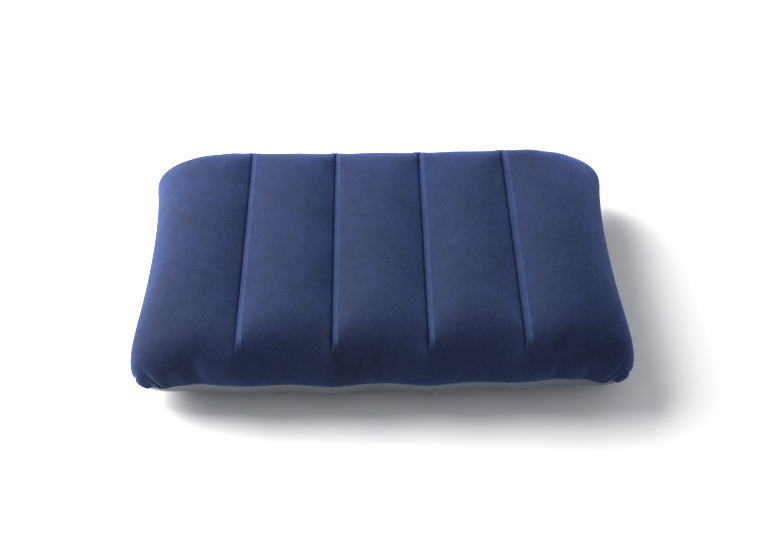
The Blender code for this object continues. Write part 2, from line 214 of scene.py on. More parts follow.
def first_guess(columns, rows, pattern):
    """Both sheets at their cut's place, domed a little so that the pressure has a volume to act on."""
    u, v = columns / columns.max(), rows / rows.max()
    dome = (1 - np.abs(u)[None, :] ** DOME_POWER) * (1 - np.abs(v)[:, None] ** DOME_POWER)
    middle = WEB_HEIGHT * GUESS_HEIGHT
    x, y = pattern.mean(0)[..., 0], pattern.mean(0)[..., 1]
    heights = [middle + side * middle * GUESS_DOME * dome for side in (1, -1)]
    return np.stack([np.stack([x, y, height], -1) for height in heights])


def weld_edges(nodes):
    """Bring the border nodes of the two sheets together."""
    shared = nodes.mean(0)
    for sheet in nodes:
        sheet[0], sheet[-1] = shared[0], shared[-1]
        sheet[:, 0], sheet[:, -1] = shared[:, 0], shared[:, -1]


def window(count, shift):
    """Slices that pair each node with the node shift places on."""
    if shift >= 0:
        return slice(0, count - shift), slice(shift, count)
    return slice(-shift, count), slice(0, count + shift)


def settle(nodes, pattern, columns, rows, steps, band_cells):
    """Let the sheets find their shape under pressure, tension, bending, the beams' pull and the ground."""
    count_y, count_x = nodes.shape[1:3]
    links = []
    for dy, dx in ((0, 1), (1, 0), (1, 1), (1, -1)):
        ya, yb = window(count_y, dy)
        xa, xb = window(count_x, dx)
        length = np.linalg.norm(pattern[:, yb, xb] - pattern[:, ya, xa], axis=-1)
        links.append((ya, yb, xa, xb, length, 1.0 if dx * dy == 0 else DIAGONAL_SHARE))
    cell = CREASE_PITCH / round(CREASE_PITCH / np.diff(columns)[count_x // 2])
    creases = [int(np.argmin(np.abs(columns - x))) for x in crease_lines()]
    in_beam = np.where(np.abs(rows) <= BEAM_RUN / 2 + SAME_PLACE)[0]
    beam = slice(in_beam[0], in_beam[-1] + 1)
    stiffness = {1: np.full((1, 1, count_x, 1), BENDING / cell ** 2),
                 2: np.full((count_x - 2, 1, count_y, 1), BENDING / cell ** 2)}
    for border in (slice(0, 2), slice(-2, None)):
        stiffness[1][:, :, border] *= SEAM_STIFFNESS
        stiffness[2][:, :, border] *= SEAM_STIFFNESS
    for c in creases:
        stiffness[2][c:c + band_cells - 1, :, beam] *= BAND_STIFFNESS
        if band_cells > 1:
            stiffness[2][c - 1, :, beam] = 0
    edge = np.ones((count_y, count_x), bool)
    edge[1:-1, 1:-1] = False
    # half the cross product of a face's diagonals is its area, and four corners share it
    outward = np.array([1.0, -1.0])[:, None, None, None] * PRESSURE / 8
    first, second = slice(None, -1), slice(1, None)
    quad_corners = ((second, second), (first, first), (second, first), (first, second))
    speed = np.zeros_like(nodes)
    for _ in range(steps):
        force = np.zeros_like(nodes)
        for ya, yb, xa, xb, length, share in links:
            span = nodes[:, yb, xb] - nodes[:, ya, xa]
            now = np.sqrt((span * span).sum(-1))
            stretch = now - length
            pull = span * (share * np.where(stretch < 0, SLACK * stretch, stretch) / now)[..., None]
            force[:, ya, xa] += pull
            force[:, yb, xb] -= pull
        for axis in (1, 2):
            along, bend = np.moveaxis(nodes, axis, 0), np.moveaxis(force, axis, 0)
            curve = (along[:-2] - 2 * along[1:-1] + along[2:]) * stiffness[axis]
            bend[1:-1] += 2 * curve
            bend[:-2] -= curve
            bend[2:] -= curve
        diagonals = nodes[:, 1:, 1:] - nodes[:, :-1, :-1], nodes[:, 1:, :-1] - nodes[:, :-1, 1:]
        push = np.cross(*diagonals) * outward
        for ya, xa in quad_corners:
            force[:, ya, xa] += push
        for c in creases:
            span = nodes[TOP, beam, c] - nodes[BOTTOM, beam, c]
            now = np.sqrt((span * span).sum(-1))
            pull = span * (np.maximum(now - WEB_HEIGHT, 0) / now)[:, None]
            force[TOP, beam, c] -= pull
            force[BOTTOM, beam, c] += pull
        force[..., 2] -= WEIGHT * cell * cell
        shared = (force[TOP] + force[BOTTOM])[edge] / 2
        force[TOP][edge] = shared
        force[BOTTOM][edge] = shared
        speed = (speed + force / NODE_MASS) * DAMPING
        nodes += speed
        under = nodes[..., 2] < 0
        nodes[..., 2][under] = 0
        speed[..., 2][under] = 0
    return nodes


def inflate(steps):
    """Flat lines and inflated nodes (sheet, row, column, xyz) of the finest grid, in millimetres."""
    columns, rows = cut_lines()
    nodes = first_guess(columns, rows, flat_pattern(columns, rows))
    random = np.random.default_rng(ROUGHNESS_SEED)
    for level, count in enumerate(steps):
        if level:
            columns, rows = halved(columns, 0), halved(rows, 0)
            nodes = halved(halved(nodes, 1), 2)
        cell = CREASE_PITCH / CELLS_PER_CHANNEL / 2 ** level
        nodes += random.normal(0, ROUGHNESS * cell, nodes.shape)
        weld_edges(nodes)
        band_cells = round(BAND_WIDTH / cell) if level == len(STEPS) - 1 else 1
        nodes = settle(nodes, flat_pattern(columns, rows), columns, rows, count, band_cells)
    return columns, rows, nodes


def fit_to_frame(nodes):
    """Place the inflated sheets in the CAD box, in metres."""
    low, high = nodes.reshape(-1, 3).min(0), nodes.reshape(-1, 3).max(0)
    cad_low, cad_high = np.array(cad_box[0]), np.array(cad_box[1])
    return (nodes - low) / (high - low) * (cad_high - cad_low) + cad_low


# ---- details of the sheets ----
def softened(columns, rows, nodes):
    """The corners' long folds ironed out, as a flocked sheet is too stiff to hold them."""
    u = (np.abs(columns) - CREASE_PITCH) / (columns[-1] - CREASE_PITCH)
    v = np.abs(rows) / rows[-1]
    share = eased(u, *IRONED_ACROSS)[None, :] * eased(v, *IRONED_ALONG)[:, None]
    share = IRONING_SHARE * share[None, 1:-1, 1:-1, None]
    for _ in range(IRONING_PASSES):
        middle = (nodes[:, 1:-1, :-2] + nodes[:, 1:-1, 2:] + nodes[:, :-2, 1:-1] + nodes[:, 2:, 1:-1]) / 4
        nodes[:, 1:-1, 1:-1] += share * (middle - nodes[:, 1:-1, 1:-1])
        for border in (nodes[:, 0], nodes[:, -1], nodes[:, :, 0], nodes[:, :, -1]):
            bend = (border[:, :-2] + border[:, 2:]) / 2 - border[:, 1:-1]
            border[:, 1:-1] += SEAM_IRONING * bend
    return nodes


def beside(a, b, c, share):
    """Point a share of a cell from a, on the curve through a, b and c."""
    return a + share * (4 * b - 3 * a - c) / 2 + share * share * (a - 2 * b + c) / 2


def with_fine_lines(grid, lines, axis):
    """Add grid lines close to the given ones; the curves on their two sides are kept apart."""
    grid = np.moveaxis(grid, axis, 0)
    last = len(grid) - 1
    made = []
    for k in range(last + 1):
        if k in lines and k > 1:
            made += [beside(grid[k], grid[k - 1], grid[k - 2], share) for share in FINE_SHARES]
        made.append(grid[k])
        if k in lines and k < last - 1:
            made += [beside(grid[k], grid[k + 1], grid[k + 2], share) for share in reversed(FINE_SHARES)]
    return np.moveaxis(np.array(made), 0, axis)


def grid_normals(grid, side):
    """Outward unit normals of one sheet's nodes."""
    normal = np.cross(np.gradient(grid, axis=1), np.gradient(grid, axis=0))
    normal /= np.maximum(np.linalg.norm(normal, axis=-1, keepdims=True), 1e-12)
    return normal if side == TOP else -normal


def beam_range(fade):
    """Range of distances from the middle, given from the beams' ends."""
    return BEAM_RUN / 2 + fade[0], BEAM_RUN / 2 + fade[1]


def tucked(columns, rows, grids):
    """Short tucks that run up from the seam, deepest at the corners."""
    x, y = np.meshgrid(columns, rows)
    inward = -grid_normals(grids[TOP], TOP)
    for tucks, along, off, border in ((END_TUCKS, x, y, rows[-1]), (SIDE_TUCKS, y, x, columns[-1])):
        for place, side, depth, width, reach in tucks:
            up = np.where(off * side > 0, border - np.abs(off), np.inf)
            amount = depth * np.exp(-((along - place) / width) ** 2) * np.exp(-(up / reach) ** 2)
            grids[TOP] += inward * amount[..., None]
    return grids


def drawn_in(columns, rows, grids):
    """Creases and the seam pulled in a little, as the welds do."""
    x, y = np.meshgrid(columns, rows)
    run = 1 - eased(np.abs(y), *beam_range(CREASE_FADE))
    for side in (TOP, BOTTOM):
        depth = np.zeros_like(x)
        for crease in crease_lines():
            dip = BAND_DIP * np.clip((x - crease) / BAND_STEP_START, 0, 1)
            dip *= 1 - eased(x, crease + BAND_STEP_START, crease + BAND_WIDTH + BAND_STEP_END)
            pinch = PINCH * np.exp(-np.abs(x - crease) / PINCH_WIDTH)
            depth = np.maximum(depth, run * np.maximum(pinch, dip))
        if side == BOTTOM:
            depth *= BOTTOM_PINCH
        inward = -grid_normals(grids[side], side)
        to_middle = np.stack([0 * x, 0 * x, np.full_like(x, -1.0 if side == TOP else 1.0)], -1)
        steer = np.clip(depth / PINCH, 0, 1)[..., None]
        inward = inward * (1 - steer) + to_middle * steer
        grids[side] += inward * depth[..., None]
        to_seam = np.minimum.reduce([x - x.min(), x.max() - x, y - y.min(), y.max() - y])
        fade = np.exp(-to_seam / SEAM_PINCH_WIDTH)
        plan = np.stack([-x * MM, -y * MM, 0 * x], -1)
        plan /= np.maximum(np.linalg.norm(plan, axis=-1, keepdims=True), 1e-9)
        grids[side] += plan * (SEAM_PINCH * fade)[..., None]
        grids[side][..., 2] += (0.5 if side == TOP else -0.5) * SEAM_GAP * fade
    return grids


# ---- meshes ----
def grid_quads(rows, columns):
    """Node numbers of a grid, counted row by row, and the four corners of each of its faces."""
    index = np.arange(rows * columns).reshape(rows, columns)
    corners = index[:-1, :-1], index[:-1, 1:], index[1:, 1:], index[1:, :-1]
    return index, np.stack(corners, -1).reshape(-1, 4)


def grid_mesh(name, grid, side):
    """Open mesh of a sheet with its welded margin turned inwards, its faces pointing out."""
    index, quads = grid_quads(*grid.shape[:2])
    loop = np.concatenate([index[0, :-1], index[:-1, -1], index[-1, :0:-1], index[:0:-1, 0]])
    points = grid.reshape(-1, 3)
    border = points[loop]
    run = sum(np.roll(border, -k, 0) - np.roll(border, k, 0) for k in range(1, SEAM_SPAN + 1))
    inward = np.stack([-run[:, 1], run[:, 0], 0 * run[:, 0]], -1)
    inward /= np.linalg.norm(inward, axis=1, keepdims=True)
    rings = [loop]
    for share in SEAM_RINGS:
        rings.append(np.arange(len(loop)) + len(points))
        points = np.concatenate([points, border + inward * SEAM_WIDTH * share])
    lips = [np.stack([a, np.roll(a, -1), np.roll(b, -1), b], -1)[:, ::-1]
            for a, b in zip(rings, rings[1:])]
    faces = np.concatenate([quads, *lips])
    if side == BOTTOM:
        faces = faces[:, ::-1]
    mesh = bpy.data.meshes.new(name)
    mesh.from_pydata(points.tolist(), [], faces.tolist())
    mesh.update()
    return mesh


def add_object(name, mesh, material):
    obj = bpy.data.objects.new(name, mesh)
    bpy.context.scene.collection.objects.link(obj)
    mesh.materials.clear()
    mesh.materials.append(material)
    mesh.shade_smooth()
    return obj


def thicken(obj, thickness):
    solidify = obj.modifiers.new("Thickness", "SOLIDIFY")
    solidify.thickness = thickness
    solidify.offset = -1.0
    return obj


# ---- materials ----
# the weld bands' pile and sheen are made lighter: partly pile crushed by the weld, partly a painted highlight
# on bands that face the light
PILE, PRESSED_PILE_AND_HIGHLIGHT = (0.0088, 0.0145, 0.0430), (0.0140, 0.0230, 0.0660)
SHEEN, PRESSED_SHEEN_AND_HIGHLIGHT = (0.098, 0.170, 0.450), (0.142, 0.236, 0.605)
GREY_FILM = (0.070, 0.084, 0.104), (0.083, 0.099, 0.121)
BEAM_FILM = (0.15, 0.17, 0.19), (0.19, 0.21, 0.23)
FILM_ROUGHNESS = 0.42
VINYL = (0.40, 0.44, 0.48), (0.50, 0.54, 0.58)
FLOOR_COLOUR = (0.92, 0.92, 0.92)


def new_material(name):
    material = bpy.data.materials.new(name)
    material.use_nodes = True
    return material, material.node_tree, material.node_tree.nodes["Principled BSDF"]


def add_noise(tree, place, scale, detail, roughness, distortion=0.0):
    noise = tree.nodes.new("ShaderNodeTexNoise")
    noise.inputs["Scale"].default_value = scale
    noise.inputs["Detail"].default_value = detail
    noise.inputs["Roughness"].default_value = roughness
    noise.inputs["Distortion"].default_value = distortion
    tree.links.new(place, noise.inputs["Vector"])
    return noise.outputs["Fac"]


def ranged(tree, value, before, after):
    """The value with the range before stretched to the range after."""
    node = tree.nodes.new("ShaderNodeMapRange")
    for name, number in zip(("From Min", "From Max", "To Min", "To Max"), (*before, *after)):
        node.inputs[name].default_value = number
    tree.links.new(value, node.inputs["Value"])
    return node.outputs["Result"]


def product(tree, a, b):
    node = tree.nodes.new("ShaderNodeMath")
    node.operation = "MULTIPLY"
    for socket, value in zip(node.inputs, (a, b)):
        tree.links.new(value, socket)
    return node.outputs["Value"]


def mixed(tree, share, a, b):
    """Colour a where share is 0 and b where it is 1."""
    node = tree.nodes.new("ShaderNodeMix")
    node.data_type = "RGBA"
    node.inputs["A"].default_value = (*a, 1)
    node.inputs["B"].default_value = (*b, 1)
    tree.links.new(share, node.inputs["Factor"])
    return node.outputs["Result"]


def scaled_colour(tree, colour, value):
    node = tree.nodes.new("ShaderNodeVectorMath")
    node.operation = "SCALE"
    tree.links.new(colour, node.inputs[0])
    tree.links.new(value, node.inputs["Scale"])
    return node.outputs["Vector"]


def bumped(tree, height, distance, strength, under=None):
    bump = tree.nodes.new("ShaderNodeBump")
    bump.inputs["Distance"].default_value = distance
    bump.inputs["Strength"].default_value = strength
    tree.links.new(height, bump.inputs["Height"])
    if under is not None:
        tree.links.new(under, bump.inputs["Normal"])
    return bump.outputs["Normal"]


def object_place(tree):
    return tree.nodes.new("ShaderNodeTexCoord").outputs["Object"]


def flock_material():
    """Short blue pile: fine grain, brushed patches, a soft sheen, and on the welds lighter pile, partly
    crushed pile and partly painted highlight.
    """
    material, tree, shader = new_material("blue_flock")
    place = object_place(tree)
    patches = add_noise(tree, place, scale=15, detail=4, roughness=0.62, distortion=0.6)
    mottle = add_noise(tree, place, scale=80, detail=4, roughness=0.72, distortion=0.4)
    grain = add_noise(tree, place, scale=620, detail=3, roughness=0.75)
    fibre = add_noise(tree, place, scale=2600, detail=2, roughness=0.6)
    # the weld bands' lighter pile and sheen: partly crushed pile, partly painted highlight
    pressed_and_highlight = tree.nodes.new("ShaderNodeAttribute")
    pressed_and_highlight.attribute_name = "pressed_and_highlight"
    tone = product(tree, ranged(tree, patches, (0.3, 0.7), (0.80, 1.20)),
                   ranged(tree, mottle, (0.25, 0.75), (0.84, 1.16)))
    tone = product(tree, tone, ranged(tree, grain, (0.3, 0.7), (0.70, 1.30)))
    tone = product(tree, tone, ranged(tree, fibre, (0.25, 0.75), (0.88, 1.12)))
    pile = mixed(tree, pressed_and_highlight.outputs["Fac"], PILE, PRESSED_PILE_AND_HIGHLIGHT)
    tree.links.new(scaled_colour(tree, pile, tone), shader.inputs["Base Color"])
    tree.links.new(ranged(tree, patches, (0.3, 0.7), (0.82, 0.96)), shader.inputs["Roughness"])
    shader.inputs["Specular IOR Level"].default_value = 0.15
    shader.inputs["Sheen Weight"].default_value = 1.0
    shader.inputs["Sheen Roughness"].default_value = 0.44
    sheen = mixed(tree, pressed_and_highlight.outputs["Fac"], SHEEN, PRESSED_SHEEN_AND_HIGHLIGHT)
    tree.links.new(scaled_colour(tree, sheen, tone), shader.inputs["Sheen Tint"])
    soft = bumped(tree, mottle, distance=0.0006, strength=0.4)
    nap = bumped(tree, grain, distance=0.0004, strength=0.6, under=soft)
    fuzz = bumped(tree, fibre, distance=0.0002, strength=0.4, under=nap)
    tree.links.new(fuzz, shader.inputs["Normal"])
    return material


def film_material(name, colours):
    """Calendered vinyl film: satin, faintly grained and slightly uneven."""
    material, tree, shader = new_material(name)
    place = object_place(tree)
    cloud = add_noise(tree, place, scale=30, detail=3, roughness=0.55)
    ripple = add_noise(tree, place, scale=75, detail=3, roughness=0.5, distortion=0.3)
    grain = add_noise(tree, place, scale=420, detail=3, roughness=0.6)
    colour = mixed(tree, ranged(tree, cloud, (0.3, 0.7), (0, 1)), *colours)
    tree.links.new(colour, shader.inputs["Base Color"])
    uneven = ranged(tree, cloud, (0.3, 0.7), (FILM_ROUGHNESS - 0.05, FILM_ROUGHNESS + 0.07))
    tree.links.new(uneven, shader.inputs["Roughness"])
    shader.inputs["IOR"].default_value = 1.5
    shader.inputs["Specular IOR Level"].default_value = 0.45
    rippled = bumped(tree, ripple, distance=0.0008, strength=0.25)
    grained = bumped(tree, grain, distance=0.00015, strength=0.5, under=rippled)
    tree.links.new(grained, shader.inputs["Normal"])
    return material


def vinyl_material():
    """Soft translucent vinyl of the valve's mouldings."""
    material, tree, shader = new_material("valve_vinyl")
    place = object_place(tree)
    haze = add_noise(tree, place, scale=260, detail=3, roughness=0.5)
    grain = add_noise(tree, place, scale=1500, detail=2, roughness=0.5)
    colour = mixed(tree, ranged(tree, haze, (0.3, 0.7), (0, 1)), *VINYL)
    tree.links.new(colour, shader.inputs["Base Color"])
    tree.links.new(ranged(tree, haze, (0.3, 0.7), (0.24, 0.34)), shader.inputs["Roughness"])
    shader.inputs["IOR"].default_value = 1.53
    shader.inputs["Transmission Weight"].default_value = 0.35
    tree.links.new(bumped(tree, grain, distance=0.00008, strength=0.4), shader.inputs["Normal"])
    return material


def floor_material():
    material, _, shader = new_material("pale_floor")
    shader.inputs["Base Color"].default_value = (*FLOOR_COLOUR, 1)
    shader.inputs["Roughness"].default_value = 0.9
    shader.inputs["Specular IOR Level"].default_value = 0.0
    return material


# ---- the valve's frame: Z out of the pillow along the valve, Y up the slope ----
FLANGE_DEPTH = 0.0012          # from the sheet's outer face to the middle of the flange
HOLE_RADIUS = 0.0094
FLANGE_RADIUS = 0.0136
FLAT_RADIUS = 0.0168           # the sheet is flat up to here, and back on its own curve at BLEND_RADIUS
BLEND_RADIUS = 0.058
BLEND_DEPTH = 0.03             # only a sheet this near the valve's plane is drawn to it
SEAM_KEPT = (0.5, 6.0)         # and only past this range from the seam, in millimetres
SEAT_RADIUS = FLANGE_RADIUS + 0.0016
SEAT_MARGIN = 0.0012           # room between the turned rings and what is left of the sheet's grid
SEAT_SIDES = 96
SEAT_DEPTH = 0.004             # faces this near the valve's plane are taken out for the rings
FLIP_DEPTH = 0.002             # and faces this near it are made to face out
# (radius, height) points of the sheet over the flange, from outside in: flat, weld ridge, rim of the recess
SEAT_PROFILE = (
    (SEAT_RADIUS, 0.0), (FLANGE_RADIUS + 0.0006, 0.0), (FLANGE_RADIUS + 0.0001, -0.0003),
    (FLANGE_RADIUS - 0.0005, -0.00035), (FLANGE_RADIUS - 0.0009, -0.0001),
    (FLANGE_RADIUS - 0.0016, -0.0001), (FLANGE_RADIUS - 0.0020, -0.00035),
    (HOLE_RADIUS + 0.0010, -0.00035), (HOLE_RADIUS + 0.0004, -0.00022), (HOLE_RADIUS, -0.0004))


def valve_matrix():
    """Middle of the flange on the sheet's outer face, with Z along the stem's slide."""
    slide = next(joint["axis"] for joint in frame["joints"] if joint["name"] == "stem_slide")
    out = Vector(slide).normalized()
    low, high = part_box("valve_flange")
    sideways = Vector((-1, 0, 0))
    axes = Matrix((sideways, out.cross(sideways), out)).transposed().to_4x4()
    return Matrix.Translation((low + high) / 2 + out * FLANGE_DEPTH) @ axes


VALVE = valve_matrix()


def seat_on_valve(grid, to_seam):
    """Pull the bottom sheet to the plane that the valve's flange holds flat; seam and ground stay."""
    back = np.array(VALVE.inverted())
    local = grid @ back[:3, :3].T + back[:3, 3]
    away = np.hypot(local[..., 0], local[..., 1])
    near = np.abs(local[..., 2]) < BLEND_DEPTH
    ease = np.where(near, 1 - eased(away, FLAT_RADIUS, BLEND_RADIUS), 0) * eased(to_seam, *SEAM_KEPT)
    local[..., 2] *= 1 - ease
    forth = np.array(VALVE)
    seated = local @ forth[:3, :3].T + forth[:3, 3]
    seated[..., 2] = np.maximum(seated[..., 2], 0)
    return seated


# ---- turned shapes ----
ON_AXIS = 1e-7                 # a smaller radius is a point on the axis
TURNED_SIDES = 72
ROUNDING = 0.00018
ROUNDING_STEPS = 3
MAX_ROUNDED = 0.45             # a corner takes at most this share of an edge
SHARP_ANGLE = 35


def circle_points(radius, height, sides):
    """Points of a circle about the Z axis."""
    return [Vector((radius * math.cos(math.tau * k / sides), radius * math.sin(math.tau * k / sides), height))
            for k in range(sides)]


def bridge(bm, pairs):
    """Faces between the two rings of each pair; a ring on the axis is one vertex many times."""
    for a, b in pairs:
        for k in range(len(a)):
            n = (k + 1) % len(a)
            corners = list(dict.fromkeys((a[k], a[n], b[n], b[k])))
            if len(corners) > 2:
                bm.faces.new(corners)


def cut_valve_seat(mesh):
    """Replace the sheet over the flange by turned rings: the weld's ridge and the rim of the recess."""
    bm = bmesh.new()
    bm.from_mesh(mesh)
    back, out = VALVE.inverted(), VALVE.col[2].xyz
    inside = []
    for face in bm.faces:
        local = back @ face.calc_center_median()
        if abs(local.z) < SEAT_DEPTH and math.hypot(local.x, local.y) < SEAT_RADIUS + SEAT_MARGIN:
            inside.append(face)
    before = {edge for edge in bm.edges if edge.is_boundary}
    bmesh.ops.delete(bm, geom=inside, context="FACES")
    rim = [edge for edge in bm.edges if edge.is_boundary and edge not in before]
    rings = [[bm.verts.new(VALVE @ point) for point in circle_points(radius, height, SEAT_SIDES)]
             for radius, height in SEAT_PROFILE]
    bridge(bm, zip(rings, rings[1:]))
    outer = set(rings[0])
    circle = [edge for edge in bm.edges if edge.is_boundary and outer.issuperset(edge.verts)]
    bmesh.ops.triangle_fill(bm, use_beauty=True, use_dissolve=False, edges=rim + circle, normal=out)
    for face in bm.faces:
        face.smooth = True
        local = back @ face.calc_center_median()
        if abs(local.z) < FLIP_DEPTH and math.hypot(local.x, local.y) < BLEND_RADIUS:
            if face.normal.dot(out) < 0:
                face.normal_flip()
    bm.to_mesh(mesh)
    bm.free()


def rounded(profile, radius=ROUNDING):
    """The closed profile with each corner rounded by a small arc."""
    made = []
    count = len(profile)
    for k in range(count):
        a, b, c = (Vector(profile[(k + d) % count]) for d in (-1, 0, 1))
        if b.x < ON_AXIS:
            made.append(b)
            continue
        back, forth = a - b, c - b
        reach = min(radius, back.length * MAX_ROUNDED, forth.length * MAX_ROUNDED)
        start, end = b + back.normalized() * reach, b + forth.normalized() * reach
        for step in range(ROUNDING_STEPS + 1):
            t = step / ROUNDING_STEPS
            made.append(start.lerp(b, t).lerp(b.lerp(end, t), t))
    return made


def turned_mesh(name, profile, closed=True):
    """Mesh of a profile of (radius, height) points turned about the valve's axis."""
    bm = bmesh.new()
    rings = []
    for radius, height in profile:
        if radius < ON_AXIS:
            rings.append([bm.verts.new((0, 0, height))] * TURNED_SIDES)
        else:
            rings.append([bm.verts.new(point) for point in circle_points(radius, height, TURNED_SIDES)])
    bridge(bm, zip(rings, rings[1:] + rings[:1] if closed else rings[1:]))
    bmesh.ops.recalc_face_normals(bm, faces=bm.faces[:])
    mesh = bpy.data.meshes.new(name)
    bm.to_mesh(mesh)
    bm.free()
    return mesh


def placed(obj):
    """The piece moved from the valve's frame to its place."""
    obj.data.transform(VALVE)
    obj.data.set_sharp_from_angle(angle=math.radians(SHARP_ANGLE))
    return obj


def rounded_box(low, high, radius=ROUNDING):
    """Bevelled block between two corners, as a bmesh."""
    bm = bmesh.new()
    bmesh.ops.create_cube(bm, size=1)
    low, high = Vector(low), Vector(high)
    bmesh.ops.transform(bm, verts=bm.verts[:],
                        matrix=Matrix.Translation((low + high) / 2) @ Matrix.Diagonal((*(high - low), 1)))
    bmesh.ops.bevel(bm, geom=bm.edges[:], offset=radius, segments=3, affect="EDGES", profile=0.5)
    return bm


def joined(obj, bm):
    """Union of a piece and a block."""
    mesh = bpy.data.meshes.new("block")
    bm.to_mesh(mesh)
    bm.free()
    block = bpy.data.objects.new("block", mesh)
    bpy.context.scene.collection.objects.link(block)
    union = obj.modifiers.new("Union", "BOOLEAN")
    union.operation = "UNION"
    union.object = block
    bpy.context.view_layer.update()
    whole = bpy.data.meshes.new_from_object(obj.evaluated_get(bpy.context.evaluated_depsgraph_get()))
    obj.modifiers.clear()
    obj.data = whole
    bpy.data.objects.remove(block)
    whole.shade_smooth()
    return obj


# ---- pieces of the valve: heights run along the axis from the sheet's outer face ----
MOUTH = -0.0008
STEM_FOOT = -0.0140
BASE_TOP = -0.0132
STEM_RADIUS = 0.0044
STEM_BORE = 0.0032
BASE_RADIUS = 0.0060
CAP_RADIUS = 0.0060
CAP_SEAT = -0.0005
CAP_TOP = 0.0007
SHANK_RADIUS = STEM_BORE - 0.0003
SHANK_TIP = -0.0045
HINGE_RADIUS = 0.0070
STRAP_HALF = 0.0018
FLAP_RADIUS = 0.0042
FLAP_TOP = -0.0143
FLAP_UNDER = FLAP_TOP - 0.0005
FLAP_ROUNDING = 0.00012
FLAP_HINGE = -0.0036           # the flap's disc is cut straight here, at its hinge
SKIRT_TOP = -0.0016
SKIRT_FOOT = -0.0129
SKIRT_STEP = 0.0004            # longest straight stretch of the skirt, which bends with the stem

# closed profiles of (radius, height) points
FLANGE_PROFILE = (
    (FLANGE_RADIUS, -0.0008), (FLANGE_RADIUS, -0.0014), (FLANGE_RADIUS - 0.0012, -0.0016),
    (HOLE_RADIUS, -0.0016), (HOLE_RADIUS, -0.0008))
SKIRT_PROFILE = (
    (0.0091, -0.0009), (0.0091, SKIRT_TOP), (0.0082, -0.0044), (0.0069, -0.0085), (0.0054, SKIRT_FOOT),
    (0.0050, SKIRT_FOOT), (0.0065, -0.0084), (0.0078, -0.0043), (0.0086, SKIRT_TOP), (0.0086, -0.0009))
TUBE_PROFILE = (
    (STEM_RADIUS, MOUTH), (STEM_RADIUS, MOUTH - 0.0010), (STEM_RADIUS - 0.0002, MOUTH - 0.0014),
    (STEM_RADIUS - 0.0002, BASE_TOP + 0.0008), (STEM_RADIUS + 0.0003, BASE_TOP), (BASE_RADIUS, BASE_TOP),
    (BASE_RADIUS, STEM_FOOT), (STEM_BORE, STEM_FOOT), (STEM_BORE, MOUTH))
# profiles that start and end on the axis
CAP_PROFILE = (
    (0, CAP_TOP - 0.0003), (0.0030, CAP_TOP - 0.0003), (0.0036, CAP_TOP), (CAP_RADIUS - 0.0003, CAP_TOP),
    (CAP_RADIUS, CAP_TOP - 0.0004), (CAP_RADIUS, CAP_SEAT), (SHANK_RADIUS, CAP_SEAT),
    (SHANK_RADIUS - 0.0002, -0.0024), (SHANK_RADIUS, -0.0028), (0.0021, SHANK_TIP), (0.0014, SHANK_TIP),
    (0.0012, -0.0014), (0, -0.0014))
FLAP_PROFILE = ((0, FLAP_TOP), (FLAP_RADIUS, FLAP_TOP), (FLAP_RADIUS, FLAP_UNDER), (0, FLAP_UNDER))
# low and high corners of the blocks joined to the tube and the cap
TUBE_STRAP = (-STRAP_HALF, 0.0038, MOUTH - 0.0006), (STRAP_HALF, HINGE_RADIUS, MOUTH - 0.0001)
CAP_STRAP = (-STRAP_HALF, CAP_RADIUS - 0.001, -0.0004), (STRAP_HALF, HINGE_RADIUS, 0.0002)
CAP_TAB = (-0.0030, -CAP_RADIUS - 0.0016, -0.0002), (0.0030, -CAP_RADIUS + 0.001, 0.0005)
TAB_ROUNDING = 0.0002


def finely_cut(profile):
    """The closed profile with points added on its long stretches."""
    fine = []
    for a, b in zip(profile, profile[1:] + profile[:1]):
        parts = max(1, round((Vector(b) - Vector(a)).length / SKIRT_STEP))
        fine += [tuple(Vector(a).lerp(Vector(b), k / parts)) for k in range(parts)]
    return fine


def flap_mesh():
    """The flap's disc, cut straight at its hinge."""
    mesh = turned_mesh("check_disc", rounded(FLAP_PROFILE, FLAP_ROUNDING), closed=False)
    bm = bmesh.new()
    bm.from_mesh(mesh)
    bmesh.ops.bisect_plane(bm, geom=bm.verts[:] + bm.edges[:] + bm.faces[:], plane_co=(0, FLAP_HINGE, 0),
                           plane_no=(0, -1, 0), clear_outer=True)
    bmesh.ops.holes_fill(bm, edges=[edge for edge in bm.edges if edge.is_boundary])
    bm.to_mesh(mesh)
    bm.free()
    return mesh


def make_valve(vinyl):
    piece = placed(add_object("flange_ring", turned_mesh("flange_ring", rounded(FLANGE_PROFILE)), vinyl))
    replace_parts(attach(piece, "pillow"), "valve_flange")

    skirt = turned_mesh("folding_skirt", finely_cut(SKIRT_PROFILE))
    piece = placed(add_object("folding_skirt", skirt, vinyl))
    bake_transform(piece)
    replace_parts(piece, "valve_skirt")

    piece = add_object("valve_tube", turned_mesh("valve_tube", rounded(TUBE_PROFILE)), vinyl)
    joined(piece, rounded_box(*TUBE_STRAP))
    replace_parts(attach(placed(piece), "stem"), "valve_stem")

    piece = add_object("plug_cap", turned_mesh("plug_cap", rounded(CAP_PROFILE), closed=False), vinyl)
    joined(piece, rounded_box(*CAP_STRAP))
    joined(piece, rounded_box(*CAP_TAB, TAB_ROUNDING))
    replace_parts(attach(placed(piece), "plug"), "valve_plug")

    piece = placed(add_object("check_disc", flap_mesh(), vinyl))
    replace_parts(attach(piece, "flap"), "check_flap")


